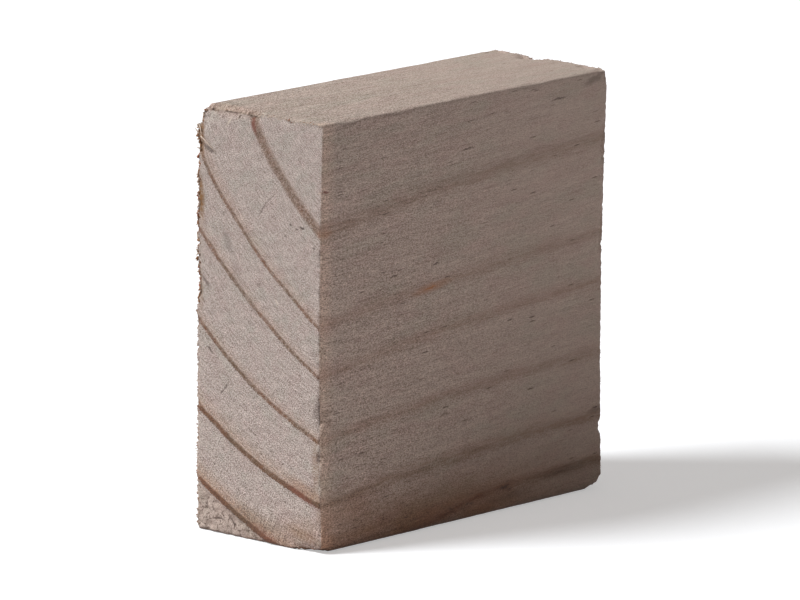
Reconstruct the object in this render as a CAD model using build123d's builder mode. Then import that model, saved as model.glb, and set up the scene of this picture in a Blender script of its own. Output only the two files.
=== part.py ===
from build123d import *
import os
from math import sqrt

# Square offcut sawn from a dressed softwood board, standing on its planed narrow edge.
# X runs along the grain, Y through the board's thickness and Z up the board's width.
# The origin is the centre of the footprint's box, on the face the block rests on.
# All sizes are in millimetres.

# The board before it was cut
board_width = 90.0  # from one planed narrow edge to the other, upright here
board_thickness = 34.6  # from one broad face to the other, a 35 mm board dried a little

# The two saw cuts across the grain
front_length = 87.6  # near end to far end, measured on the front broad face
back_overrun = 1.4  # extra length on the back broad face, as the far cut is out of square

# The four long arrises, each eased by the planer by its own amount
top_front_radius = 0.6
top_back_radius = 3.0
bottom_front_radius = 0.8
bottom_back_radius = 1.2

# Wear and damage
worn_corner_radius = 2.6  # lower edge of the far end, rounded by knocks
chip_height = 29.0  # middle of the chip, above the base, on the near front arris
chip_length = 5.4  # along the arris
chip_depth = 1.1  # from the sharp arris in to the bottom of the chip

# Places worked out from the sizes above
back_length = front_length + back_overrun
near_end = -max(front_length, back_length) / 2  # centres the footprint's box on X = 0
far_end_front = near_end + front_length
far_end_back = near_end + back_length
front_face = -board_thickness / 2
back_face = board_thickness / 2
far_cut = Plane(
    origin=(far_end_back, back_face, 0),
    x_dir=(board_thickness, -back_overrun, 0),
    z_dir=(-back_overrun, -board_thickness, 0),
)
chip_radius = (chip_length**2 / 4 + chip_depth**2) / (2 * chip_depth)
chip_offset = (chip_radius - chip_depth) / sqrt(2)

with BuildPart() as wooden_block:
    # The board's section, with its four eased arrises, carried along the grain
    with BuildSketch(Plane.YZ) as board_section:
        with Locations((0, board_width / 2)):
            Rectangle(board_thickness, board_width)
        # Within the sketch X runs through the thickness and Y up the width
        fillet(board_section.vertices().group_by(Axis.Y)[0].sort_by(Axis.X)[0], bottom_front_radius)
        fillet(board_section.vertices().group_by(Axis.Y)[0].sort_by(Axis.X)[-1], bottom_back_radius)
        fillet(board_section.vertices().group_by(Axis.Y)[-1].sort_by(Axis.X)[0], top_front_radius)
        fillet(board_section.vertices().group_by(Axis.Y)[-1].sort_by(Axis.X)[-1], top_back_radius)
    extrude(amount=max(front_length, back_length), both=True)

    # Seen from above: a square near cut and a far cut that runs out towards the back
    with BuildSketch(Plane.XY) as plan_outline:
        with BuildLine():
            Polyline(
                (near_end, front_face),
                (far_end_front, front_face),
                (far_end_back, back_face),
                (near_end, back_face),
                close=True,
            )
        make_face()
    extrude(amount=board_width, mode=Mode.INTERSECT)

    # Seen along the far cut: its lower edge is worn round
    with BuildSketch(far_cut) as wear_outline:
        Rectangle(2 * worn_corner_radius, 2 * worn_corner_radius)
        with Locations((-worn_corner_radius, worn_corner_radius)):
            Circle(worn_corner_radius, mode=Mode.SUBTRACT)
    extrude(amount=2 * board_thickness, both=True, mode=Mode.SUBTRACT)

    # A small scoop broken out of the near front arris
    with Locations((near_end - chip_offset, front_face - chip_offset, chip_height)):
        Sphere(chip_radius, mode=Mode.SUBTRACT)

wooden_block.part.label = "wooden_block"
os.makedirs("parts", exist_ok=True)
export_step(wooden_block.part, "parts/wooden_block.step")
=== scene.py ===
import math
import bpy
import numpy as np
from mathutils import Matrix, Vector


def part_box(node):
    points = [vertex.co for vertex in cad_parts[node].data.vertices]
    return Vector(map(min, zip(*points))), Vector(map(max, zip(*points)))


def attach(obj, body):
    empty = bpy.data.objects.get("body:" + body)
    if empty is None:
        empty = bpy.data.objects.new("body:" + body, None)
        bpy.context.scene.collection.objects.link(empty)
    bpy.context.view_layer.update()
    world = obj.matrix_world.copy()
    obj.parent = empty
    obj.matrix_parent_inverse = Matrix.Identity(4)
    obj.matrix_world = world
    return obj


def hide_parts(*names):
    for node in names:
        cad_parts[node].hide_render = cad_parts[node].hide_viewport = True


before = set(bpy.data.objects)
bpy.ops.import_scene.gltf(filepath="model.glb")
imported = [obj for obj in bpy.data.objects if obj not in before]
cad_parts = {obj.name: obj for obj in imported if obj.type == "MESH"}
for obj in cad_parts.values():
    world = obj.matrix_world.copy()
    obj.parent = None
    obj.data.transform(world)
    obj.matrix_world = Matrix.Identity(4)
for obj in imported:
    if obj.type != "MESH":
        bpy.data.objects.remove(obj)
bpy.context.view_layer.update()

# A square offcut of dressed softwood, standing on its planed narrow edge.
# Lengths in the tables are in millimetres, apart from the studio's, and become metres when a mesh is made.
# Places on the block are given as: along from the near sawn end, in from the front face, up from the base.
mm = 0.001
blockLow = np.array(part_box("wooden_block")[0]) / mm
blockHigh = np.array(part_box("wooden_block")[1]) / mm
blockSize = blockHigh - blockLow
nearEnd, frontFace = blockLow[0], blockLow[1]
farEnd, backFace = blockHigh[0], blockHigh[1]
topFace = blockHigh[2]
zeroPlace = np.array([nearEnd, frontFace, 0.0])
print("stage: frame loaded, block", blockSize.round(2).tolist(), "mm")


# Value noise: random numbers on a lattice, blended between the eight corners of a cell by t*t*(3-2t)
def softNoise(points, cell, seed):
    side = 48
    lattice = np.random.default_rng(seed).uniform(-1, 1, (side, side, side))
    scaled = points / np.asarray(cell, float)
    low = np.floor(scaled).astype(int)
    t = scaled - low
    t = t * t * (3 - 2 * t)
    a = low % side
    b = (low + 1) % side
    total = 0
    for i in (0, 1):
        for j in (0, 1):
            for k in (0, 1):
                weight = (t[:, 0] if i else 1 - t[:, 0]) * (t[:, 1] if j else 1 - t[:, 1])
                weight = weight * (t[:, 2] if k else 1 - t[:, 2])
                corner = lattice[(b if i else a)[:, 0], (b if j else a)[:, 1], (b if k else a)[:, 2]]
                total = total + weight * corner
    return total


# Several layers of value noise, each half the size and half the strength of the one before
def layeredNoise(points, cell, seed, layers=3):
    total = 0
    for layer in range(layers):
        total = total + softNoise(points, np.asarray(cell, float) / 2**layer, seed + layer) / 2**layer
    return total


# Eases from 0 to 1 as value goes from start to end: t*t*(3-2t)
def easeBetween(value, start, end):
    t = np.clip((value - start) / (end - start), 0, 1)
    return t * t * (3 - 2 * t)


tree = {
    "pith": (-36.4, 119.4),  # the heart of the tree, in from the front face and up from the base
    "pithLean": (-0.043, 0.1035),  # how the rings' middle moves in Y and Z for each millimetre along
    "pithBend": -0.0005,  # curve of that line in Z
    "fibreRise": 0.065,  # how much the fibres climb for each millimetre along
    "wander": 0.40,  # how far a ring strays from its circle
    "wanderCell": (60, 14, 14),  # size of those strays, along and across the block
    "flatness": 0.5,  # how much flatter than circles the middle rings run across the end
    "lean": 0.75,  # how far the outer rings lean out towards the back
    "firstLean": 0.35,  # how far the first ring leans in towards the back
    "farSpread": 0.9,  # how much further out the outer rings lie at the far end
    "lastRingRise": 4.0,  # rise of the lowest ring towards the far end
    "fadeShare": 0.24,  # how much of a ring's relief its fade has
    # each ring: radius of its outer edge, width of its dark line, width of its fade, darkness, softness
    "rings": (
        (64.7, 1.90, 1.8, 0.78, 0.55),
        (80.65, 0.74, 3.0, 0.84, 0.14),
        (89.95, 0.82, 2.6, 0.84, 0.16),
        (103.3, 0.88, 2.6, 0.92, 0.16),
        (116.3, 1.05, 3.8, 1.35, 0.16),
        (129.1, 1.00, 4.2, 1.95, 0.14),
        (142.6, 1.00, 3.4, 0.90, 0.20),
    ),
}


# Ring radius: distance from the leaning pith, less the rings' own stray from a circle across the block,
# with q from -1 at the front to 1 at the back: flatness*(2q^2-1) for the middle rings, lean*(q+0.35) for
# the outer ones and -firstLean*(q+1) for the first, plus a slow wander
def ringRadius(points):
    along = points[:, 0] - nearEnd
    pithY = frontFace + tree["pith"][0] + tree["pithLean"][0] * along
    pithZ = tree["pith"][1] + tree["pithLean"][1] * along + tree["pithBend"] * along**2
    radius = np.hypot(points[:, 1] - pithY, points[:, 2] - pithZ)
    across = 2 * (points[:, 1] - frontFace) / blockSize[1] - 1
    first, second, third, fourth, fifth, lastRing = [ring[0] for ring in tree["rings"][:6]]
    flat = easeBetween(radius, first, second - 2) * easeBetween(radius, fourth, third)
    lean = easeBetween(radius, fourth + 3, fifth - 2) * (1 - 0.5 * easeBetween(radius, fifth + 2, lastRing))
    firstLean = tree["firstLean"] * easeBetween(radius, second - 2, first) * (across + 1)
    spread = tree["farSpread"] * easeBetween(radius, third, fourth) * along / blockSize[0]
    radius = radius - tree["flatness"] * flat * (2 * across**2 - 1) - tree["lean"] * lean * (across + 0.35)
    radius = radius + firstLean - spread
    rise = easeBetween(along, 20, 55) * easeBetween(radius, lastRing - 12, lastRing - 4)
    radius = radius + tree["lastRingRise"] * rise
    return radius + tree["wander"] * layeredNoise(points, tree["wanderCell"], 11, 2)


# The wood's own directions: along the grain, out from the pith, and round the pith
def grainPlace(points):
    along = points[:, 0] - nearEnd
    offY = points[:, 1] - frontFace - tree["pith"][0]
    offZ = points[:, 2] - tree["fibreRise"] * along - tree["pith"][1]
    middleRing = tree["rings"][3][0]
    return np.stack([along, np.hypot(offY, offZ), np.arctan2(offZ, offY) * middleRing], 1)


# Darkness of the rings, for their relief: each rises slowly on the pith side and then has a dark line that
# stops sharply outside; it is dark*max(line, fadeShare*fade)
def latewood(radius):
    total = np.zeros_like(radius)
    for edge, line, fade, dark, soft in tree["rings"]:
        inside = 1 - easeBetween(radius, edge - soft, edge + soft)
        body = easeBetween(radius, edge - line - 0.35, edge - line + 0.25)
        slope = tree["fadeShare"] * easeBetween(radius, edge - line - fade, edge - line)
        total = np.maximum(total, dark * np.maximum(body, slope) * inside)
    return total


block = {
    "edgeSteps": (0, 0.12, 0.35, 0.7, 1.2),  # grid lines near an edge, from the edge inwards
    "endSteps": (0, 0.12, 0.35, 0.7, 1.3, 2.2, 3.5),  # the same along the grain, at a sawn end
    "spacing": (1.0, 0.43, 0.45),  # grid spacing elsewhere, along X, Y and Z
    "backOverrun": 1.4,  # the back face is this much longer than the front one
    # radius of the long arrises: front and back at the base, front and back at the top
    "arris": ((2.2, 1.2), (0.6, 3.2)),
    "sawnEdge": (0.85, 0.30),  # rounding of the sawn edges at the base and at the top
    "frontShift": (-0.80, -0.40),  # the front face's lean: shift in Y at the base and at the top
    "frontHollow": 0.8,  # its hollow between them
    "backShift": (0.45, 0.10),  # the back face's shift in Y at the base and at the top
    "farShift": (0.4, 1.1),  # the far end's shift in X at the base and at the top
    # rise of the top: near end front and back, far end front and back
    "topRise": ((0.25, 0.50), (0.15, -0.15)),
    "wornCorner": 2.8,  # rounding of the far end's lower edge
    "planerRipple": 0.010,  # knife marks along the planed faces
    "planerPitch": 3.1,  # from one knife mark to the next
    "fibreLift": 0.05,  # raised fibres on the planed faces
    "ringLift": 0.03,  # how far the hard rings stand above the planed faces
    "sawRough": 0.09,  # roughness of the sawn ends
    "sawTracks": 0.02,  # height of the saw's tracks
    "ringProud": 0.08,  # how far the hard rings stand above the soft wood at the ends
    "tearDepth": 0.60,  # depth of torn grain outside the sixth ring of the near end
    "backTear": 0.42,  # broken edge between the near end and the back
    "topTear": 0.30,  # broken edge between the near end and the top
    "edgeTear": 0.16,  # the other sawn edges
    "chipRagged": 0.30,  # how ragged the rims of the chips are
}

# Chips and bruises: middle, half sizes, depth
chips = (
    ((0.0, 0.0, 29.5), (4.0, 1.9, 3.2), 1.05),
    ((0.0, 0.0, 20.2), (2.2, 1.1, 1.3), 0.60),
    ((0.0, 0.0, 0.0), (3.5, 8.0, 2.0), 1.00),
    ((0.0, 34.6, 90.0), (2.2, 6.0, 5.0), 0.95),
    ((0.0, 27.0, 90.3), (1.9, 9.5, 1.9), 1.05),
    ((0.0, 0.3, 62.5), (0.8, 0.8, 1.6), 0.35),
    ((0.0, 34.6, 81.0), (1.2, 1.6, 2.0), 0.55),
    ((0.0, 34.6, 52.0), (1.0, 1.2, 4.5), 0.45),
    ((0.0, 30.0, 90.0), (1.2, 3.0, 1.0), 0.40),
    ((0.0, 19.0, 90.0), (1.8, 2.4, 1.5), 0.75),
    ((0.0, 9.0, 90.0), (1.4, 2.6, 0.9), 0.35),
    ((8.0, 0.0, 90.0), (3.5, 0.9, 0.9), 0.35),
    ((23.0, 0.0, 90.0), (4.5, 0.9, 0.8), 0.28),
    ((66.0, 0.0, 90.0), (5.0, 0.8, 0.9), 0.25),
    ((88.5, 30.0, 90.0), (1.4, 3.2, 1.0), 0.45),
    ((88.0, 20.5, 90.0), (2.4, 3.6, 1.8), 0.95),
    ((87.6, 4.5, 90.0), (1.6, 2.4, 1.2), 0.50),
    ((87.6, 0.0, 90.0), (2.2, 2.0, 2.2), 0.55),
    ((87.6, 0.0, 74.0), (0.9, 0.9, 5.0), 0.40),
    ((87.6, 0.0, 52.0), (0.9, 0.9, 7.0), 0.45),
    ((87.6, 0.0, 13.5), (0.9, 0.9, 2.0), 0.70),
    ((87.6, 0.0, 0.5), (3.6, 5.0, 2.6), 0.80),
)


# Grid lines along one side: the given steps at both ends and even steps between them
def gridLines(length, steps, spacing):
    steps = np.array(steps, float)
    middle = length - 2 * steps[-1]
    count = int(round(middle / spacing))
    inner = steps[-1] + middle * np.arange(1, count) / count
    return np.concatenate([steps, inner, (length - steps)[::-1]])


# The skin of a box-shaped lattice: points on its six sides, joined in fours, each point used once
def latticeSkin(linesX, linesY, linesZ):
    counts = (len(linesX), len(linesY), len(linesZ))
    onSkin = np.ones(counts, bool)
    onSkin[1:-1, 1:-1, 1:-1] = False
    number = np.full(counts, -1)
    number[onSkin] = np.arange(onSkin.sum())
    i, j, k = np.nonzero(onSkin)
    points = np.stack([linesX[i], linesY[j], linesZ[k]], 1)

    def quads(sheet, flip):
        corners = [sheet[:-1, :-1], sheet[1:, :-1], sheet[1:, 1:], sheet[:-1, 1:]]
        if flip:
            corners = corners[::-1]
        return np.stack([c.ravel() for c in corners], 1)

    faces = [
        quads(number[0, :, :], True),
        quads(number[-1, :, :], False),
        quads(number[:, 0, :], False),
        quads(number[:, -1, :], True),
        quads(number[:, :, 0], True),
        quads(number[:, :, -1], False),
    ]
    return points, np.concatenate(faces)


# Rounds the four long arrises: a point past an arris's centre line is drawn onto its circle
def easeArrises(points):
    y, z = points[:, 1], points[:, 2]
    back = y > (frontFace + backFace) / 2
    top = z > topFace / 2
    (baseFront, baseBack), (topFront, topBack) = block["arris"]
    radius = np.where(top, np.where(back, topBack, topFront), np.where(back, baseBack, baseFront))
    innerY = np.where(back, np.minimum(y, backFace - radius), np.maximum(y, frontFace + radius))
    innerZ = np.where(top, np.minimum(z, topFace - radius), np.maximum(z, radius))
    offY, offZ = y - innerY, z - innerZ
    square = np.maximum(np.abs(offY), np.abs(offZ))  # concentric squares become concentric circles
    scale = np.where(square > 1e-6, square / np.maximum(np.hypot(offY, offZ), 1e-9), 1)
    eased = points.copy()
    eased[:, 1] = innerY + offY * scale
    eased[:, 2] = innerZ + offZ * scale
    return eased


# Rounds the sawn edges: with a and b the closeness to the end and to the side, a point goes to the angle
# 45*(1 + b - a) degrees of a quarter circle that touches both
def easeSawnEdges(points, fromNear, fromFar, fromSide, outward):
    atBase, atTop = block["sawnEdge"]
    radius = atBase + (atTop - atBase) * easeBetween(points[:, 2], 0, topFace)
    toEnd = np.minimum(fromNear, fromFar)
    inwardX = np.where(fromNear < fromFar, 1.0, -1.0)
    a = np.clip(1 - toEnd / radius, 0, 1)
    b = np.clip(1 - fromSide / radius, 0, 1)
    angle = np.pi / 4 * (1 + b - a)
    inReach = (toEnd < radius) & (fromSide < radius)
    moveX = np.where(inReach, radius * (1 - np.cos(angle)) - toEnd, 0)
    moveIn = np.where(inReach, radius * (1 - np.sin(angle)) - fromSide, 0)
    eased = points.copy()
    eased[:, 0] += inwardX * moveX
    eased[:, 1:] -= outward * moveIn[:, None]
    return eased


# Draws the far end's lower edge onto a quarter circle
def wearCorner(points, farHere):
    worn = block["wornCorner"]
    offX = points[:, 0] - (farHere - worn)
    offZ = points[:, 2] - worn
    reach = np.hypot(offX, offZ)
    inCorner = (offX > 0) & (offZ < 0) & (reach > worn)
    pull = np.where(inCorner, worn / np.maximum(reach, 1e-9), 1)
    points[:, 0] = np.where(inCorner, farHere - worn + offX * pull, points[:, 0])
    points[:, 2] = np.where(inCorner, worn + offZ * pull, points[:, 2])
    return points


# Unit vectors away from the middle, turning smoothly round each edge
def outwardOf(points, low, high, margin):
    inner = np.clip(points, low + margin, high - margin)
    away = points - inner
    return away / np.maximum(np.linalg.norm(away, axis=1), 1e-9)[:, None]


# The block: a box-shaped skin with eased arrises and sawn edges, leaned and hollowed along its faces, and
# then moved in or out along its outward directions by the sum of its relief, its torn edges and its chips
def makeBlock():
    linesX = nearEnd + gridLines(blockSize[0], block["endSteps"], block["spacing"][0])
    linesY = frontFace + gridLines(blockSize[1], block["edgeSteps"], block["spacing"][1])
    linesZ = gridLines(blockSize[2], block["edgeSteps"], block["spacing"][2])
    flat, faces = latticeSkin(linesX, linesY, linesZ)

    # distances to the sides of the plain box tell the ends from the long faces
    fromNear = flat[:, 0] - nearEnd
    fromFar = farEnd - flat[:, 0]
    fromFront = flat[:, 1] - frontFace
    fromBack = backFace - flat[:, 1]
    fromTop = topFace - flat[:, 2]
    fromSide = np.minimum.reduce([fromFront, fromBack, flat[:, 2], fromTop])
    toEnd = np.minimum(fromNear, fromFar)
    outward = outwardOf(flat, blockLow, blockHigh, 0.9)
    outwardSection = outwardOf(flat[:, 1:], blockLow[1:], blockHigh[1:], 1.3)

    points = easeArrises(flat)
    points = easeSawnEdges(points, fromNear, fromFar, fromSide, outwardSection)

    # the far cut is out of square: lengths shrink evenly towards the front face
    share = (points[:, 1] - frontFace) / blockSize[1]
    length = blockSize[0] - block["backOverrun"] * (1 - share)
    points[:, 0] = nearEnd + (points[:, 0] - nearEnd) * length / blockSize[0]
    points = wearCorner(points, nearEnd + length)

    radius = ringRadius(points)
    dark = latewood(radius)
    grain = grainPlace(points)
    endGrain = np.where(toEnd < 1e-6, easeBetween(fromSide, 0, 0.3), easeBetween(toEnd, 0.25, 0.0) * 0.5)

    # the front face leans and is hollow, the back face leans a little
    height = np.clip(points[:, 2] / topFace, 0, 1)
    frontBase, frontTop = block["frontShift"]
    backBase, backTop = block["backShift"]
    frontMove = frontBase + (frontTop - frontBase) * height + block["frontHollow"] * np.sin(np.pi * height)
    backMove = backBase + (backTop - backBase) * height
    points[:, 1] += frontMove * (1 - share) + backMove * share
    farBase, farTop = block["farShift"]
    along = (points[:, 0] - nearEnd) / blockSize[0]
    points[:, 0] += (farBase + (farTop - farBase) * height) * along
    (nearFrontRise, nearBackRise), (farFrontRise, farBackRise) = block["topRise"]
    nearRise = nearFrontRise + (nearBackRise - nearFrontRise) * share
    farRise = farFrontRise + (farBackRise - farFrontRise) * share
    points[:, 2] += (nearRise + (farRise - nearRise) * along) * height

    # planed faces: knife ripple, lifted fibres, hard rings a little proud
    knifeShift = 0.6 * softNoise(points, 20, 3)
    ripple = block["planerRipple"] * np.sin(2 * np.pi * points[:, 0] / block["planerPitch"] + knifeShift)
    fibres = block["fibreLift"] * layeredNoise(grain, (5.0, 0.9, 0.9), 21, 2)
    lift = (ripple + fibres + block["ringLift"] * dark) * (1 - endGrain)

    # sawn ends: fine roughness, saw tracks, hard rings proud, torn grain outside the sixth ring
    rough = block["sawRough"] * layeredNoise(points, (1.1, 1.1, 1.1), 31, 3)
    tracks = np.sin(points[:, 2] * 2.4 + points[:, 1] * 0.5 + softNoise(points, 12, 5))
    sixth = tree["rings"][5][0]
    atNear = np.clip(-outward[:, 0], 0, 1)
    torn = easeBetween(radius, sixth - 0.1, sixth + 0.5) * atNear
    tearing = np.abs(layeredNoise(points, (1.6, 1.6, 1.6), 41, 3))
    lift = lift + (rough + block["sawTracks"] * tracks + block["ringProud"] * dark) * endGrain
    lift = lift - block["tearDepth"] * tearing * torn

    # broken sawn edges, worst at the back and the top of the near end
    picking = layeredNoise(points, (0.9, 0.9, 0.7), 51, 3)
    backBreak = easeBetween(fromBack, 2.4, 0.1) * easeBetween(fromNear, 1.2, 0.0)
    topBreak = easeBetween(fromTop, 1.9, 0.1) * easeBetween(fromNear, 1.6, 0.0)
    otherBreak = easeBetween(fromSide, 0.9, 0.0) * easeBetween(toEnd, 0.8, 0.0)
    lift = lift - block["backTear"] * np.clip(picking + 0.1, 0, 2) * backBreak
    lift = lift - block["topTear"] * np.clip(picking + 0.05, 0, 2) * topBreak
    lift = lift - block["edgeTear"] * np.clip(picking + 0.2, 0, 2) * otherBreak

    # chips: a scoop towards the middle of the block, depth*(1 - distance^2)^0.8 deep
    for place, half, depth in chips:
        distance = np.linalg.norm((points - zeroPlace - place) / half, axis=1)
        distance = distance + block["chipRagged"] * layeredNoise(points, (0.7, 0.7, 0.7), 61, 2)
        lift = lift - depth * np.clip(1 - distance**2, 0, 1) ** 0.8

    points = points + outward * lift[:, None]
    points[:, 2] = np.maximum(points[:, 2], 0)  # nothing reaches below the face it rests on
    values = {"ringRadius": radius, "grainPlace": grain, "endGrain": endGrain, "torn": torn,
              "broken": np.clip(backBreak + topBreak, 0, 1)}
    edges = {
        "nearBack": (toEnd == fromNear) & (fromNear < 0.4) & (fromBack < 0.4),
        "nearTop": (toEnd == fromNear) & (fromNear < 0.4) & (fromTop < 0.4),
        "nearFront": (toEnd == fromNear) & (fromNear < 0.2) & (fromFront < 0.2),
        "nearBase": (toEnd == fromNear) & (fromNear < 0.2) & (flat[:, 2] < 0.2),
        "farFront": (toEnd == fromFar) & (fromFar < 0.2) & (fromFront < 0.2),
        "farBack": (toEnd == fromFar) & (fromFar < 0.2) & (fromBack < 0.2),
        "farTop": (toEnd == fromFar) & (fromFar < 0.2) & (fromTop < 0.2),
    }
    return points, faces, values, edges


# Rows of torn fibres: the edge they grow from, how far along it, their usual direction, and how many
# of them are brown
fibreRows = (
    {"edge": "nearBack", "span": (1, 88), "count": 480, "way": (-0.55, 0.45, 0.0),
     "length": (0.10, 0.42), "thick": (0.14, 0.28), "brown": 0.50},
    {"edge": "nearBack", "span": (48, 88), "count": 200, "way": (-0.8, -0.1, -0.35),
     "length": (0.25, 0.75), "thick": (0.18, 0.36), "brown": 0.70},
    {"edge": "nearBack", "span": (80, 90), "count": 70, "way": (-0.7, -0.2, 0.2),
     "length": (0.2, 0.6), "thick": (0.12, 0.25), "brown": 0.60},
    {"edge": "nearTop", "span": (0, 35), "count": 260, "way": (-0.7, 0.1, 0.1),
     "length": (0.12, 0.5), "thick": (0.06, 0.15), "brown": 0.12},
    {"edge": "nearFront", "span": (2, 88), "count": 90, "way": (-0.6, -0.6, 0.1),
     "length": (0.15, 0.45), "thick": (0.04, 0.09), "brown": 0.2},
    {"edge": "nearBase", "span": (0, 35), "count": 40, "way": (-1.0, 0.0, 0.2),
     "length": (0.15, 0.4), "thick": (0.04, 0.09), "brown": 0.5},
    {"edge": "farFront", "span": (3, 88), "count": 70, "way": (0.9, -0.4, 0.0),
     "length": (0.15, 0.45), "thick": (0.04, 0.09), "brown": 0.2},
    {"edge": "farBack", "span": (2, 86), "count": 70, "way": (0.5, 0.8, 0.0),
     "length": (0.2, 0.7), "thick": (0.04, 0.1), "brown": 0.3},
    {"edge": "farTop", "span": (0, 35), "count": 70, "way": (0.8, 0.0, 0.6),
     "length": (0.15, 0.5), "thick": (0.04, 0.1), "brown": 0.2},
)

# Single splinters: root, tip, thickness
splinters = (
    ((-0.15, 32.8, 82.9), (-0.75, 29.6, 81.4), 0.22),
    ((-0.10, 33.9, 85.2), (-0.70, 32.2, 83.2), 0.20),
    ((-0.05, 34.4, 84.0), (-0.60, 35.6, 85.6), 0.20),
    ((-0.05, 34.3, 80.9), (-0.50, 35.4, 81.4), 0.16),
    ((-0.05, 33.5, 66.4), (-0.45, 31.6, 65.5), 0.12),
    ((0.00, 23.2, 88.9), (-0.35, 24.3, 86.8), 0.10),
    ((3.0, 9.4, 90.0), (5.2, 8.6, 90.35), 0.12),
    ((7.2, 5.2, 90.0), (9.0, 4.4, 90.3), 0.12),
    ((32.2, 0.1, 90.0), (33.4, -0.35, 89.1), 0.09),
    ((48.4, 0.1, 90.0), (48.9, -0.30, 88.9), 0.09),
    ((0.0, 0.2, 76.0), (1.6, -0.35, 75.9), 0.10),
)


# Each fibre is a four-sided spike: along its line t runs from -0.35, inside the wood, to 1 at the tip,
# the line bends by bend*t^2 and the width falls with (1 - t)^0.7
def spikes(roots, ways, bends, lengths, thicks, sideways):
    rings, sides = 4, 4
    other = np.cross(ways, sideways)
    t = np.linspace(-0.35, 1, rings)[None, :, None, None]
    angle = np.linspace(0, 2 * np.pi, sides, endpoint=False)[None, None, :, None]
    reach = lengths[:, None, None, None]
    line = roots[:, None, None, :] + ways[:, None, None, :] * t * reach
    line = line + bends[:, None, None, :] * np.clip(t, 0, 1) ** 2 * reach
    width = thicks[:, None, None, None] * (1.02 - np.clip(t, 0, 1)) ** 0.7
    ring = np.cos(angle) * sideways[:, None, None, :] + 0.6 * np.sin(angle) * other[:, None, None, :]
    points = (line + ring * width).reshape(-1, 3)
    first = np.arange(len(roots))[:, None, None] * rings * sides
    level = np.arange(rings - 1)[None, :, None] * sides
    step = np.arange(sides)[None, None, :]
    nextStep = (step + 1) % sides
    quads = [first + level + step, first + level + nextStep,
             first + level + sides + nextStep, first + level + sides + step]
    walls = np.stack([q.reshape(-1) for q in np.broadcast_arrays(*quads)], 1)
    lastRing = (rings - 1) * sides
    cap = np.array([[3, 2, 1, 0], [lastRing, lastRing + 1, lastRing + 2, lastRing + 3]])
    caps = (first + cap[None, :, :]).reshape(-1, 4)
    return points, np.concatenate([walls, caps])


# Vectors brought to length 1
def unit(vectors):
    return vectors / np.linalg.norm(vectors, axis=1)[:, None]


# Torn fibres: each is rooted on a point of its edge, points along its row's direction plus a random turn,
# and bends a little at random
def makeFibres(blockPoints, edges):
    random = np.random.default_rng(7)
    roots, ways, lengths, thicks, browns = [], [], [], [], []
    for row in fibreRows:
        upright = 1 if row["edge"].endswith(("Top", "Base")) else 2
        place = blockPoints - zeroPlace
        low, high = row["span"]
        able = edges[row["edge"]] & (place[:, upright] >= low) & (place[:, upright] <= high)
        chosen = random.choice(np.nonzero(able)[0], row["count"])
        roots.append(blockPoints[chosen] + random.normal(0, 0.08, (row["count"], 3)))
        ways.append(np.array(row["way"]) + random.normal(0, 0.35, (row["count"], 3)))
        lengths.append(random.uniform(*row["length"], row["count"]) * random.uniform(0.4, 1, row["count"]))
        thicks.append(random.uniform(*row["thick"], row["count"]))
        browns.append(random.random(row["count"]) < row["brown"])
    for root, tip, thick in splinters:
        reach = np.array(tip) - root
        roots.append(zeroPlace[None, :] + root)
        ways.append(reach[None, :])
        lengths.append(np.array([np.linalg.norm(reach)]))
        thicks.append(np.array([thick]))
        browns.append(np.array([False]))
    roots = np.concatenate(roots)
    ways = unit(np.concatenate(ways))
    bends = random.normal(0, 0.25, roots.shape)
    sideways = unit(np.cross(ways, random.normal(0, 1, roots.shape)))
    points, faces = spikes(roots, ways, bends, np.concatenate(lengths), np.concatenate(thicks), sideways)
    points[:, 2] = np.maximum(points[:, 2], 0)
    brown = np.repeat(np.concatenate(browns).astype(float), len(points) // len(roots))
    return points, faces, {"brown": brown}


# Puts a table of points in millimetres and a table of faces into a new object at the origin
def makePiece(name, points, faces, values, material, smooth=True):
    mesh = bpy.data.meshes.new(name)
    mesh.from_pydata((points * mm).tolist(), [], faces.tolist())
    for key, column in values.items():
        column = np.asarray(column, np.float32)
        kind, field = ("FLOAT", "value") if column.ndim == 1 else ("FLOAT_VECTOR", "vector")
        layer = mesh.attributes.new(key, kind, "POINT")
        layer.data.foreach_set(field, column.ravel())
    mesh.polygons.foreach_set("use_smooth", np.full(len(mesh.polygons), smooth))
    mesh.materials.append(material)
    mesh.update()
    piece = bpy.data.objects.new(name, mesh)
    bpy.context.scene.collection.objects.link(piece)
    return piece


def newMaterial(name):
    material = bpy.data.materials.new(name)
    material.use_nodes = True
    material.node_tree.nodes.clear()
    return material, material.node_tree


# Adds a node, sets its own settings, and links or fills its inputs by name or number
def addNode(graph, kind, inputs=None, **settings):
    node = graph.nodes.new(kind)
    for key, value in settings.items():
        setattr(node, key, value)
    for key, value in (inputs or {}).items():
        if isinstance(value, bpy.types.NodeSocket):
            graph.links.new(value, node.inputs[key])
        else:
            node.inputs[key].default_value = value
    return node


def calc(graph, operation, a, b=0.0, clamp=False):
    return addNode(graph, "ShaderNodeMath", {0: a, 1: b}, operation=operation, use_clamp=clamp).outputs[0]


def times(graph, a, b, clamp=False):
    return calc(graph, "MULTIPLY", a, b, clamp)


def axisOf(graph, vector, axis):
    return addNode(graph, "ShaderNodeSeparateXYZ", {0: vector}).outputs[axis]


# Goes from low to high, eased, as value goes from start to end
def rampOf(graph, value, start, end, low=0.0, high=1.0):
    names = {"Value": value, "From Min": start, "From Max": end, "To Min": low, "To Max": high}
    return addNode(graph, "ShaderNodeMapRange", names, interpolation_type="SMOOTHSTEP").outputs[0]


def noiseOf(graph, vector, scale, detail=2.0, roughness=0.5):
    names = {"Vector": vector, "Scale": scale, "Detail": detail, "Roughness": roughness}
    return addNode(graph, "ShaderNodeTexNoise", names).outputs["Fac"]


def stretched(graph, vector, scale):
    return addNode(graph, "ShaderNodeMapping", {"Vector": vector, "Scale": scale}).outputs[0]


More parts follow.
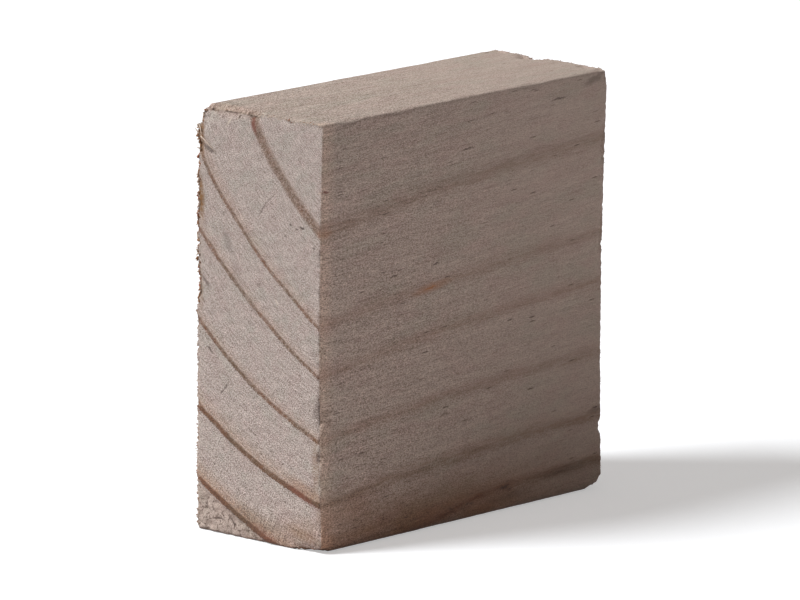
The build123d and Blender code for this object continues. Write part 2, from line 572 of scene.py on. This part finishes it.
def blendColour(graph, share, first, second, kind="MIX"):
    names = {0: share, 6: first, 7: second}
    return addNode(graph, "ShaderNodeMix", names, data_type="RGBA", blend_type=kind).outputs[2]


def attributeOf(graph, name, output="Fac"):
    return addNode(graph, "ShaderNodeAttribute", attribute_name=name).outputs[output]


# Linear colour from the usual 0 to 255 values
def colour(red, green, blue):
    def linear(v):
        v /= 255
        return v / 12.92 if v <= 0.04045 else ((v + 0.055) / 1.055) ** 2.4
    return (linear(red), linear(green), linear(blue), 1.0)


pine = {
    "soft": colour(177, 160, 149),  # pale early wood
    "softGrey": colour(168, 157, 144),  # its greyer, greener patches
    "softPink": colour(174, 153, 143),  # its pinker patches
    "patchShare": 0.6,  # how much those patches show
    "sawnTint": (1.0, 1.04, 1.10, 1),  # the sawn ends are a little greyer than the planed faces
    "halo": colour(166, 132, 108),  # orange-brown wood beside a ring
    "haloShare": 0.42,  # how much of it shows
    "hard": colour(102, 78, 60),  # dark late wood
    "hardRed": colour(113, 77, 56),  # redder stretches of late wood
    "paintedBaseShade": (0.71, 0.51, 0.39, 1),  # painted warm shade near the base, which darkens the wood by this much
    "paintedBaseShadeReach": (15.0, 11.0),  # how far up it goes, on the front face and on the sawn end
    "paintedBaseShadeShare": (0.95, 0.30),  # how strong it is on each
    "paintedEdgeLight": (1.26, 1.20, 1.15, 1),  # painted light: the front face made lighter and warmer beside the near end
    "paintedEdgeLightReach": 5.0,  # how far that goes
    "poreAndBaseShade": colour(86, 68, 58),  # resin canals and tears, and the painted shade along the base
    "poreShare": 0.75,  # how dark they are
    "paleFibre": colour(206, 190, 176),  # bruised, lifted fibres
    "bruiseShare": 0.40,  # how much of them shows along the broken edges
    "nibble": 1.3,  # how far the speckle frays a ring's edge
    "ringBlur": 1.3,  # softness of every ring on the planed faces
    "ringOnFront": 0.46,  # strength of the rings on the planed broad faces
    "ringOnTop": 0.12,  # and on the planed narrow faces
    "grit": 3.7,  # contrast of the fine speckle
    "calm": (0.95, 0.31),  # share of that contrast at the near and far ends of the planed faces
    "calmTop": 1.4,  # the narrow faces have this many times the share of the broad ones
    "sawnGrit": 1.30,  # share of it on the sawn ends
    "shadeTint": (1.0, 1.10, 1.18),  # power of the speckle in red, green and blue, which keeps it neutral
    "hatch": 0.8,  # contrast of the fine lines along the rings
    "ray": 0.5,  # contrast of the fine lines across the rings
    "scraped": 1.3,  # contrast of those lines at the foot of the sawn end
    "tornTint": colour(198, 168, 146),  # torn grain
    "tornShare": 0.18,  # how much of it shows
    "roughness": 0.84,  # in the middle of its range
    "bump": 0.00025,  # height of the fine relief, metres
}

# Marks on the surface: face, from, to, half width, colour, strength. Places on the near end are in from
# the front face and up from the base; on the front they are along from the near end and up from the base.
marks = (
    # the next two dark marks are painted shade in the dents on the near front arris
    ("end", (0.9, 31.0), (0.5, 28.4), 0.35, "dark", 0.45),
    ("end", (0.8, 20.9), (0.5, 19.4), 0.30, "dark", 0.45),
    ("end", (27.0, 64.0), (25.2, 60.5), 1.30, "grey", 0.38),
    ("end", (24.5, 58.0), (22.0, 53.0), 1.20, "grey", 0.20),
    ("end", (17.5, 68.9), (15.4, 72.0), 0.24, "dark", 0.55),
    ("end", (15.8, 71.5), (12.7, 74.4), 0.16, "dark", 0.30),
    ("end", (5.7, 68.0), (5.0, 67.9), 0.32, "dark", 0.90),
    ("end", (8.7, 68.3), (8.2, 68.1), 0.28, "dark", 0.75),
    ("end", (7.0, 67.6), (6.6, 67.5), 0.22, "dark", 0.70),
    ("end", (10.1, 65.7), (9.6, 65.3), 0.28, "dark", 0.60),
    ("end", (2.2, 64.4), (1.7, 64.1), 0.32, "dark", 0.75),
    ("end", (1.0, 60.6), (0.7, 60.4), 0.25, "dark", 0.60),
    ("end", (33.3, 54.2), (31.2, 51.8), 0.40, "dark", 0.55),
    ("end", (31.6, 39.4), (30.4, 38.1), 0.25, "dark", 0.70),
    ("end", (30.1, 3.1), (26.7, 3.3), 0.25, "dark", 0.75),
    ("end", (32.4, 6.4), (31.6, 5.4), 0.30, "dark", 0.75),
    ("end", (26.0, 4.5), (22.5, 1.2), 0.25, "dark", 0.65),
    ("end", (28.2, 29.4), (25.7, 32.5), 0.18, "dark", 0.70),
    # painted shadow beneath the splinters at the back of the near end
    ("end", (33.1, 81.8), (30.1, 80.6), 0.60, "dark", 0.60),
    ("end", (34.1, 75.0), (33.5, 66.5), 1.20, "ochre", 1.00),
    ("end", (34.1, 87.4), (33.5, 80.2), 1.10, "ochre", 0.95),
    ("end", (34.3, 56.5), (33.4, 47.5), 1.00, "ochre", 0.45),
    ("end", (34.3, 56.1), (33.6, 49.7), 0.35, "dark", 0.55),
    ("end", (19.6, 89.6), (18.4, 86.0), 0.70, "red", 0.70),
    ("end", (19.3, 3.6), (11.6, 0.3), 1.50, "red", 0.30),
    ("end", (25.5, 6.5), (9.5, 2.5), 2.40, "olive", 0.36),
    ("end", (8.0, 14.6), (0.3, 11.4), 1.70, "russet", 0.55),
    ("end", (9.5, 4.0), (0.5, 5.2), 2.80, "russet", 0.32),
    ("end", (32.6, 10.4), (24.0, 4.7), 0.35, "dark", 0.35),
    ("end", (33.0, 90.2), (20.5, 90.2), 2.20, "rose", 0.46),
    ("end", (25.1, 88.7), (26.6, 86.4), 0.22, "pale", 0.90),
    ("end", (12.8, 51.9), (11.9, 51.0), 0.25, "pale", 0.70),
    ("end", (8.2, 4.3), (0.0, 2.3), 1.60, "ochre", 0.40),
    ("end", (9.5, 13.7), (0.2, 9.5), 0.75, "red", 0.50),
    ("end", (1.4, 24.0), (0.9, 12.0), 1.20, "ochre", 0.40),
    ("front", (31.6, 51.0), (36.3, 51.6), 0.35, "orange", 0.85),
    ("front", (28.5, 50.6), (40.0, 52.0), 1.10, "orange", 0.35),
    ("front", (21.4, 55.3), (23.8, 55.6), 0.22, "dark", 0.80),
    ("front", (20.8, 56.4), (26.3, 56.5), 0.16, "dark", 0.55),
    ("front", (34.4, 55.9), (36.9, 56.2), 0.22, "dark", 0.80),
    ("front", (70.7, 85.8), (76.1, 86.1), 0.25, "dark", 0.80),
    ("front", (42.8, 79.0), (46.9, 79.3), 0.22, "dark", 0.70),
    ("front", (39.1, 3.4), (40.6, 3.4), 0.25, "dark", 0.70),
    ("front", (44.1, 3.6), (45.6, 3.6), 0.25, "dark", 0.70),
    ("front", (55.4, 5.1), (58.0, 5.4), 0.40, "dark", 0.90),
    ("front", (24.4, 2.6), (33.7, 3.4), 0.25, "dark", 0.60),
    ("front", (0.1, 76.2), (2.4, 75.9), 0.30, "red", 0.80),
    ("front", (0.0, 67.2), (2.2, 67.4), 1.30, "orange", 0.28),
    ("front", (-1.0, 7.6), (14.0, 9.4), 3.50, "russet", 0.50),
    ("front", (2.0, 12.6), (10.5, 13.8), 0.90, "red", 0.22),
    ("front", (81.5, 87.8), (87.0, 89.2), 0.90, "dark", 0.50),
    ("front", (84.0, 17.0), (88.0, 17.6), 0.80, "dark", 0.45),
    ("front", (50.0, 2.2), (66.0, 3.6), 1.20, "dark", 0.35),
    ("front", (68.0, 5.0), (84.0, 6.4), 1.40, "dark", 0.35),
)
markColours = {
    "ochre": colour(132, 96, 60),
    "orange": colour(168, 112, 72),
    "grey": colour(120, 112, 106),
    "red": colour(118, 66, 54),
    "dark": colour(70, 52, 44),
    "pale": colour(210, 196, 182),
}
# Colours of the marks that darken the wood by this much instead, so that its speckle shows through
washes = {
    "russet": (0.76, 0.57, 0.44, 1),
    "olive": (0.41, 0.39, 0.28, 1),
    "rose": (0.70, 0.54, 0.47, 1),
}


# One mark: 1 inside an ellipsoid laid along the mark's line, fading to 0 at its rim
def markShade(graph, warped, mark):
    face, start, finish, half, kind, strength = mark
    middle = (np.array(start) + finish) / 2
    reach = np.array(finish) - start
    tilt = math.atan2(reach[1], reach[0])
    long = np.hypot(*reach) / 2 + half
    onEnd = face == "end"
    place = zeroPlace + ([0, middle[0], middle[1]] if onEnd else [middle[0], 0, middle[1]])
    turn = (tilt, 0, 0) if onEnd else (0, -tilt, 0)
    inward = 4.0 if kind == "rose" else 1.2  # the rose one also covers the bevel above the end
    sizes = (inward, long, half) if onEnd else (long, 1.5, half)
    local = addNode(graph, "ShaderNodeMapping",
                    {"Vector": warped, "Location": tuple(place), "Rotation": turn, "Scale": sizes},
                    vector_type="TEXTURE").outputs[0]
    distance = addNode(graph, "ShaderNodeVectorMath", {0: local}, operation="LENGTH").outputs["Value"]
    return rampOf(graph, distance, 0.30, 1.25, strength, 0.0)


# Rings: across each ring the darkness rises over its fade and its line and falls to nothing outside,
# all of it blurred by the softness, which is much wider on the planed faces than at the ends
def ringShades(graph, radius, endGrain):
    core, halo = None, None
    for edge, line, fade, strength, soft in tree["rings"]:
        blur = rampOf(graph, endGrain, 0, 1, pine["ringBlur"], soft)
        past = calc(graph, "SUBTRACT", radius, edge)
        inside = rampOf(graph, calc(graph, "DIVIDE", past, blur), -1, 1, 1, 0)
        body = rampOf(graph, calc(graph, "DIVIDE", calc(graph, "ADD", past, line), blur), -1.6, 0.8)
        slope = rampOf(graph, past, -line - fade, -line * 0.3, 0, 1)
        ring = times(graph, times(graph, body, inside), strength)
        glow = times(graph, times(graph, slope, inside), strength)
        core = ring if core is None else calc(graph, "MAXIMUM", core, ring)
        halo = glow if halo is None else calc(graph, "MAXIMUM", halo, glow)
    return core, halo


# Solid wood: rings from the stored radius, speckle as noise in the wood's own directions and stretched
# along the grain, pores as long thin ellipsoids, so every face shows the same wood cut another way
def makePine():
    material, graph = newMaterial("pine")
    place = addNode(graph, "ShaderNodeTexCoord").outputs["Object"]
    inMm = addNode(graph, "ShaderNodeVectorMath", {0: place, 3: 1 / mm}, operation="SCALE").outputs[0]
    height = axisOf(graph, inMm, "Z")
    across = axisOf(graph, inMm, "Y")
    radius = attributeOf(graph, "ringRadius")
    endGrain = attributeOf(graph, "endGrain")
    torn = attributeOf(graph, "torn")
    broken = attributeOf(graph, "broken")
    grain = attributeOf(graph, "grainPlace", "Vector")
    alongGrain = axisOf(graph, grain, "X")

    # speckle and fine lines
    grit = noiseOf(graph, stretched(graph, grain, (0.55, 1, 1)), 4.2, 2, 0.75)
    hatch = noiseOf(graph, stretched(graph, grain, (0.10, 2.3, 0.30)), 1.0, 2, 0.6)
    ray = noiseOf(graph, stretched(graph, grain, (0.35, 0.35, 2.6)), 1.0, 2, 0.6)
    patches = noiseOf(graph, stretched(graph, grain, (0.35, 1, 1)), 0.16, 3, 0.6)
    tints = noiseOf(graph, stretched(graph, grain, (0.40, 1, 1)), 0.26, 2, 0.5)

    # rings, their edge frayed a little by the speckle and more by slow noise on the planed faces
    fray = calc(graph, "SUBTRACT", noiseOf(graph, stretched(graph, grain, (0.2, 1, 1)), 0.9, 3, 0.7), 0.5)
    frayWidth = rampOf(graph, endGrain, 0, 1, 1.2, 0.55)
    frayed = calc(graph, "ADD", radius, times(graph, fray, frayWidth))
    nibble = times(graph, calc(graph, "SUBTRACT", grit, 0.5), pine["nibble"])
    frayed = calc(graph, "ADD", frayed, nibble)
    core, halo = ringShades(graph, frayed, endGrain)
    facing = addNode(graph, "ShaderNodeNewGeometry").outputs["True Normal"]
    upright = calc(graph, "ABSOLUTE", axisOf(graph, facing, "Z"))
    onLong = rampOf(graph, upright, 0.5, 0.9, pine["ringOnFront"], pine["ringOnTop"])
    shown = rampOf(graph, endGrain, 0, 1, onLong, 1)
    mottle = noiseOf(graph, stretched(graph, grain, (0.15, 1, 1)), 1.3, 3, 0.75)
    mottle = rampOf(graph, mottle, 0.3, 0.7, 0.45, 1.25)
    core = times(graph, times(graph, core, mottle), shown, True)
    halo = times(graph, times(graph, halo, mottle), shown)

    # colours
    toGrey = rampOf(graph, patches, 0.46, 0.66, 0, pine["patchShare"])
    toPink = rampOf(graph, tints, 0.46, 0.66, 0, pine["patchShare"])
    wood = blendColour(graph, toGrey, pine["soft"], pine["softGrey"])
    wood = blendColour(graph, toPink, wood, pine["softPink"])
    wood = blendColour(graph, endGrain, wood, pine["sawnTint"], "MULTIPLY")
    wood = blendColour(graph, times(graph, halo, pine["haloShare"]), wood, pine["halo"])
    reds = rampOf(graph, noiseOf(graph, stretched(graph, grain, (0.1, 1, 1)), 0.12, 2), 0.42, 0.62)
    wood = blendColour(graph, core, wood, blendColour(graph, reds, pine["hard"], pine["hardRed"]))

    # places shaken by up to half a millimetre, for the outlines of cracks and marks
    shake = addNode(graph, "ShaderNodeTexNoise", {"Vector": inMm, "Scale": 1.1, "Detail": 2.0})
    centred = addNode(graph, "ShaderNodeVectorMath", {0: shake.outputs["Color"], 1: (0.5, 0.5, 0.5)},
                      operation="SUBTRACT").outputs[0]
    shift = addNode(graph, "ShaderNodeVectorMath", {0: centred, 3: 0.9}, operation="SCALE").outputs[0]
    warped = addNode(graph, "ShaderNodeVectorMath", {0: inMm, 1: shift}, operation="ADD").outputs[0]

    # torn grain: a little warmer, crossed by short cracks along the walls of warped cells
    wood = blendColour(graph, times(graph, torn, pine["tornShare"]), wood, pine["tornTint"])
    crackPlaces = noiseOf(graph, inMm, 1.1, 2)
    cracks = addNode(graph, "ShaderNodeTexVoronoi", {"Vector": warped, "Scale": 0.62, "Randomness": 1.0},
                     feature="DISTANCE_TO_EDGE").outputs["Distance"]
    cracks = times(graph, rampOf(graph, cracks, 0.02, 0.10, 1, 0), torn)
    cracks = times(graph, cracks, rampOf(graph, crackPlaces, 0.49, 0.56))
    wood = blendColour(graph, times(graph, cracks, pine["poreShare"]), wood, pine["poreAndBaseShade"])

    # shade of the speckle: 1 plus each noise's distance from its middle, times its contrast, all of it
    # calmer towards the far end of the planed faces
    calm = rampOf(graph, alongGrain, 0, blockSize[0], *pine["calm"])
    calm = times(graph, calm, rampOf(graph, upright, 0.5, 0.9, 1.0, pine["calmTop"]))
    calm = rampOf(graph, endGrain, 0, 1, calm, pine["sawnGrit"])
    calm = times(graph, calm, rampOf(graph, torn, 0, 1, 1.0, 0.45))
    foot = times(graph, rampOf(graph, height, 3, 11, 1, 0), endGrain)
    scraped = rampOf(graph, times(graph, foot, rampOf(graph, radius, 117, 121)), 0, 1,
                     pine["ray"], pine["scraped"])
    shade = 0.0
    for noise, contrast in ((grit, pine["grit"]), (hatch, pine["hatch"]), (ray, scraped)):
        part = times(graph, calc(graph, "SUBTRACT", noise, 0.5), contrast)
        shade = calc(graph, "ADD", shade, part)
    shade = calc(graph, "MAXIMUM", calc(graph, "ADD", times(graph, shade, calm), 1.0), 0.35)
    powers = [calc(graph, "POWER", shade, power) for power in pine["shadeTint"]]
    shade = addNode(graph, "ShaderNodeCombineColor", dict(enumerate(powers))).outputs[0]
    wood = blendColour(graph, 1.0, wood, shade, "MULTIPLY")

    # painted shade towards the base, warm and mottled, on the front face and the front half of the near end
    nearby = rampOf(graph, alongGrain, 5, 12, 0.78, 1.0)  # it stays lower beside the near end
    onFront, onEnd = pine["paintedBaseShadeReach"]
    reach = rampOf(graph, endGrain, 0, 1, times(graph, nearby, onFront), onEnd)
    baseShaded = rampOf(graph, height, 1.5, reach, 1.0, 0.0)
    baseShaded = times(graph, baseShaded, rampOf(graph, alongGrain, 50, 84, 1, 0.15))
    baseShaded = times(graph, baseShaded, rampOf(graph, across, frontFace + 8, frontFace + 26, 1, 0))
    baseShaded = times(graph, baseShaded, rampOf(graph, patches, 0.30, 0.70, 0.7, 1.15))
    baseShaded = times(graph, baseShaded, rampOf(graph, endGrain, 0, 1, *pine["paintedBaseShadeShare"]), True)
    wood = blendColour(graph, baseShaded, wood, pine["paintedBaseShade"], "MULTIPLY")

    # painted light: the front face made lighter and warmer beside the near end
    glow = rampOf(graph, alongGrain, 0.3, pine["paintedEdgeLightReach"], 1, 0)
    glow = times(graph, glow, rampOf(graph, across, frontFace + 1, frontFace + 3, 1, 0))
    glow = times(graph, glow, rampOf(graph, endGrain, 0, 0.5, 1, 0))
    wood = blendColour(graph, glow, wood, pine["paintedEdgeLight"], "MULTIPLY")

    # pores: cells stretched along the grain, some of them holding one dark thread
    cells = addNode(graph, "ShaderNodeTexVoronoi",
                    {"Vector": stretched(graph, grain, (0.16, 1, 1)), "Scale": 0.95, "Randomness": 1.0})
    luck = addNode(graph, "ShaderNodeSeparateColor", {0: cells.outputs["Color"]}).outputs[0]
    chosen = rampOf(graph, luck, 0.55, 0.9)
    pores = times(graph, rampOf(graph, cells.outputs["Distance"], 0.08, 0.20, 1, 0), chosen)
    wood = blendColour(graph, times(graph, pores, pine["poreShare"]), wood, pine["poreAndBaseShade"])

    # pale bruised fibres along the broken edges
    bruise = rampOf(graph, noiseOf(graph, inMm, 1.6, 2, 0.6), 0.50, 0.62, 0, pine["bruiseShare"])
    wood = blendColour(graph, times(graph, bruise, broken), wood, pine["paleFibre"])

    # marks, their outline shaken by noise, the ochre ones with paler gaps
    darkMarks = None
    for kind, tint in (washes | markColours).items():
        total = None
        for mark in marks:
            if mark[4] == kind:
                spot = markShade(graph, warped, mark)
                total = spot if total is None else calc(graph, "MAXIMUM", total, spot)
        if kind == "ochre":
            gaps = rampOf(graph, noiseOf(graph, inMm, 1.8, 2), 0.38, 0.54, 0.60, 1)
            total = times(graph, total, gaps)
        wood = blendColour(graph, total, wood, tint, "MULTIPLY" if kind in washes else "MIX")
        darkMarks = total if kind == "dark" else darkMarks

    # painted contact shade: darker where the block meets what it stands on
    contactShade = rampOf(graph, height, 0.1, 0.9, 0.55, 0.0)
    wood = blendColour(graph, contactShade, wood, pine["poreAndBaseShade"])

    # height of the fine relief, used for bump
    relief = calc(graph, "ADD", times(graph, grit, 1.2), times(graph, hatch, 0.4))
    hollows = times(graph, calc(graph, "ADD", pores, darkMarks), 0.6)
    relief = calc(graph, "SUBTRACT", relief, hollows)
    bump = addNode(graph, "ShaderNodeBump", {"Strength": 1.0, "Distance": pine["bump"], "Height": relief})

    roughness = rampOf(graph, grit, 0.2, 0.8, pine["roughness"] - 0.08, pine["roughness"] + 0.08)
    shader = addNode(graph, "ShaderNodeBsdfPrincipled", {"Base Color": wood, "Roughness": roughness,
                                                         "Normal": bump.outputs[0]})
    addNode(graph, "ShaderNodeOutputMaterial", {"Surface": shader.outputs[0]})
    return material


fibreWood = {"pale": colour(192, 175, 160), "brown": colour(142, 106, 76), "red": colour(146, 94, 68),
             "roughness": 0.85}


# Torn fibres: each is pale or brown as its own mark says, the brown ones redder in places by slow noise
def makeFibreWood():
    material, graph = newMaterial("fibreWood")
    place = addNode(graph, "ShaderNodeTexCoord").outputs["Object"]
    reds = rampOf(graph, noiseOf(graph, place, 300, 2, 0.6), 0.45, 0.60)
    browns = blendColour(graph, reds, fibreWood["brown"], fibreWood["red"])
    wood = blendColour(graph, attributeOf(graph, "brown"), fibreWood["pale"], browns)
    grain = noiseOf(graph, place, 6000, 2)
    bump = addNode(graph, "ShaderNodeBump", {"Strength": 0.5, "Distance": 0.00003, "Height": grain})
    roughness = rampOf(graph, grain, 0.3, 0.7, fibreWood["roughness"] - 0.06, fibreWood["roughness"] + 0.06)
    shader = addNode(graph, "ShaderNodeBsdfPrincipled", {"Base Color": wood, "Roughness": roughness,
                                                         "Normal": bump.outputs[0]})
    addNode(graph, "ShaderNodeOutputMaterial", {"Surface": shader.outputs[0]})
    return material


blockPoints, blockFaces, blockValues, blockEdges = makeBlock()
blockPiece = makePiece("sawnBlock", blockPoints, blockFaces, blockValues, makePine())
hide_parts("wooden_block")
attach(blockPiece, "root")
print("stage: block made,", len(blockFaces) * 2, "triangles")

fibrePoints, fibreFaces, fibreValues = makeFibres(blockPoints, blockEdges)
fibrePiece = makePiece("tornFibres", fibrePoints, fibreFaces, fibreValues, makeFibreWood())
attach(fibrePiece, "root")
print("stage: fibres made,", len(fibreFaces) * 2, "triangles")

studio = {
    "floorReach": 9.0,  # half width of the floor, metres
    "floorSeen": (0.72, 0.74, 0.77, 1),  # the floor as the camera sees it
    "floorLift": 0.42,  # added so that the open floor reads as white
    "floorGiven": (0.76, 0.72, 0.725, 1),  # the floor as it lights the block
    "skyColour": (1.0, 0.87, 0.79, 1),
    "sky": 0.175,  # strength of the even light from all round
    "keyWay": (-0.60, 0.38, 0.74),  # direction towards the main light
    "keyColour": (0.99, 1.0, 1.0),
    "keyStrength": 3.88,
    "keyAngle": 24.0,  # apparent width of the main light, degrees
}


# True for rays that look straight at a surface, or see it in a mirror or through glass
def seenDirectly(graph):
    path = addNode(graph, "ShaderNodeLightPath")
    seen = calc(graph, "ADD", path.outputs["Is Camera Ray"], path.outputs["Is Glossy Ray"], True)
    return calc(graph, "ADD", seen, path.outputs["Is Transmission Ray"], True)


def makeFloor():
    material, graph = newMaterial("paleFloor")
    seen = seenDirectly(graph)
    tone = blendColour(graph, seen, studio["floorGiven"], studio["floorSeen"])
    matte = calc(graph, "SUBTRACT", 1.0, seen)
    paper = addNode(graph, "ShaderNodeBsdfDiffuse", {"Color": tone, "Roughness": matte})
    lift = addNode(graph, "ShaderNodeEmission",
                   {"Color": (1, 1, 1, 1), "Strength": times(graph, seen, studio["floorLift"])})
    both = addNode(graph, "ShaderNodeAddShader", {0: paper.outputs[0], 1: lift.outputs[0]})
    addNode(graph, "ShaderNodeOutputMaterial", {"Surface": both.outputs[0]})
    reach = studio["floorReach"] / mm
    corners = np.array([[-1, -1, 0], [1, -1, 0], [1, 1, 0], [-1, 1, 0]], float) * reach
    floor = makePiece("floor", corners, np.array([[0, 1, 2, 3]]), {}, material, False)


def makeSky():
    world = bpy.data.worlds.new("sky")
    world.use_nodes = True
    graph = world.node_tree
    graph.nodes.clear()
    seen = seenDirectly(graph)
    tone = blendColour(graph, seen, studio["skyColour"], (1, 1, 1, 1))
    sky = addNode(graph, "ShaderNodeBackground",
                  {"Color": tone, "Strength": rampOf(graph, seen, 0, 1, studio["sky"], 1.0)})
    addNode(graph, "ShaderNodeOutputWorld", {"Surface": sky.outputs[0]})
    bpy.context.scene.world = world


def makeKeyLight():
    lamp = bpy.data.lights.new("keyLight", "SUN")
    lamp.color = studio["keyColour"]
    lamp.energy = studio["keyStrength"]
    lamp.angle = math.radians(studio["keyAngle"])
    light = bpy.data.objects.new("keyLight", lamp)
    light.rotation_mode = "QUATERNION"
    light.rotation_quaternion = Vector(studio["keyWay"]).to_track_quat("Z", "Y")
    bpy.context.scene.collection.objects.link(light)


view = {
    "azimuth": -48.03,  # round from looking along +Y, degrees
    "elevation": 11.825,  # above the horizon, degrees
    "roll": 0.424,  # the view's small tilt, degrees
    "distance": 2361.7,  # from the block's middle
    "lens": 507.8,
    "offset": (-0.65, -0.442),  # how far the aim misses the block's middle, right and up
}


def makeCamera():
    turn, lift, roll = (math.radians(view[key]) for key in ("azimuth", "elevation", "roll"))
    back = Vector((math.sin(turn) * math.cos(lift), -math.cos(turn) * math.cos(lift), math.sin(lift)))
    level = Vector((math.cos(turn), math.sin(turn), 0))
    upright = back.cross(level)
    right = math.cos(roll) * level + math.sin(roll) * upright
    up = back.cross(right)
    middle = Vector((blockLow + blockHigh) / 2)
    eye = middle + back * view["distance"] + right * view["offset"][0] + up * view["offset"][1]
    lens = bpy.data.cameras.new("camera")
    lens.lens = view["lens"]
    lens.clip_end = 100
    camera = bpy.data.objects.new("camera", lens)
    bpy.context.scene.collection.objects.link(camera)
    placed = Matrix((right, up, back)).transposed().to_4x4()
    placed.translation = eye * mm
    camera.matrix_world = placed
    bpy.context.scene.camera = camera


makeFloor()
makeSky()
makeKeyLight()
makeCamera()
bpy.context.scene.view_settings.view_transform = "Standard"
print("stage: floor, light and camera made")
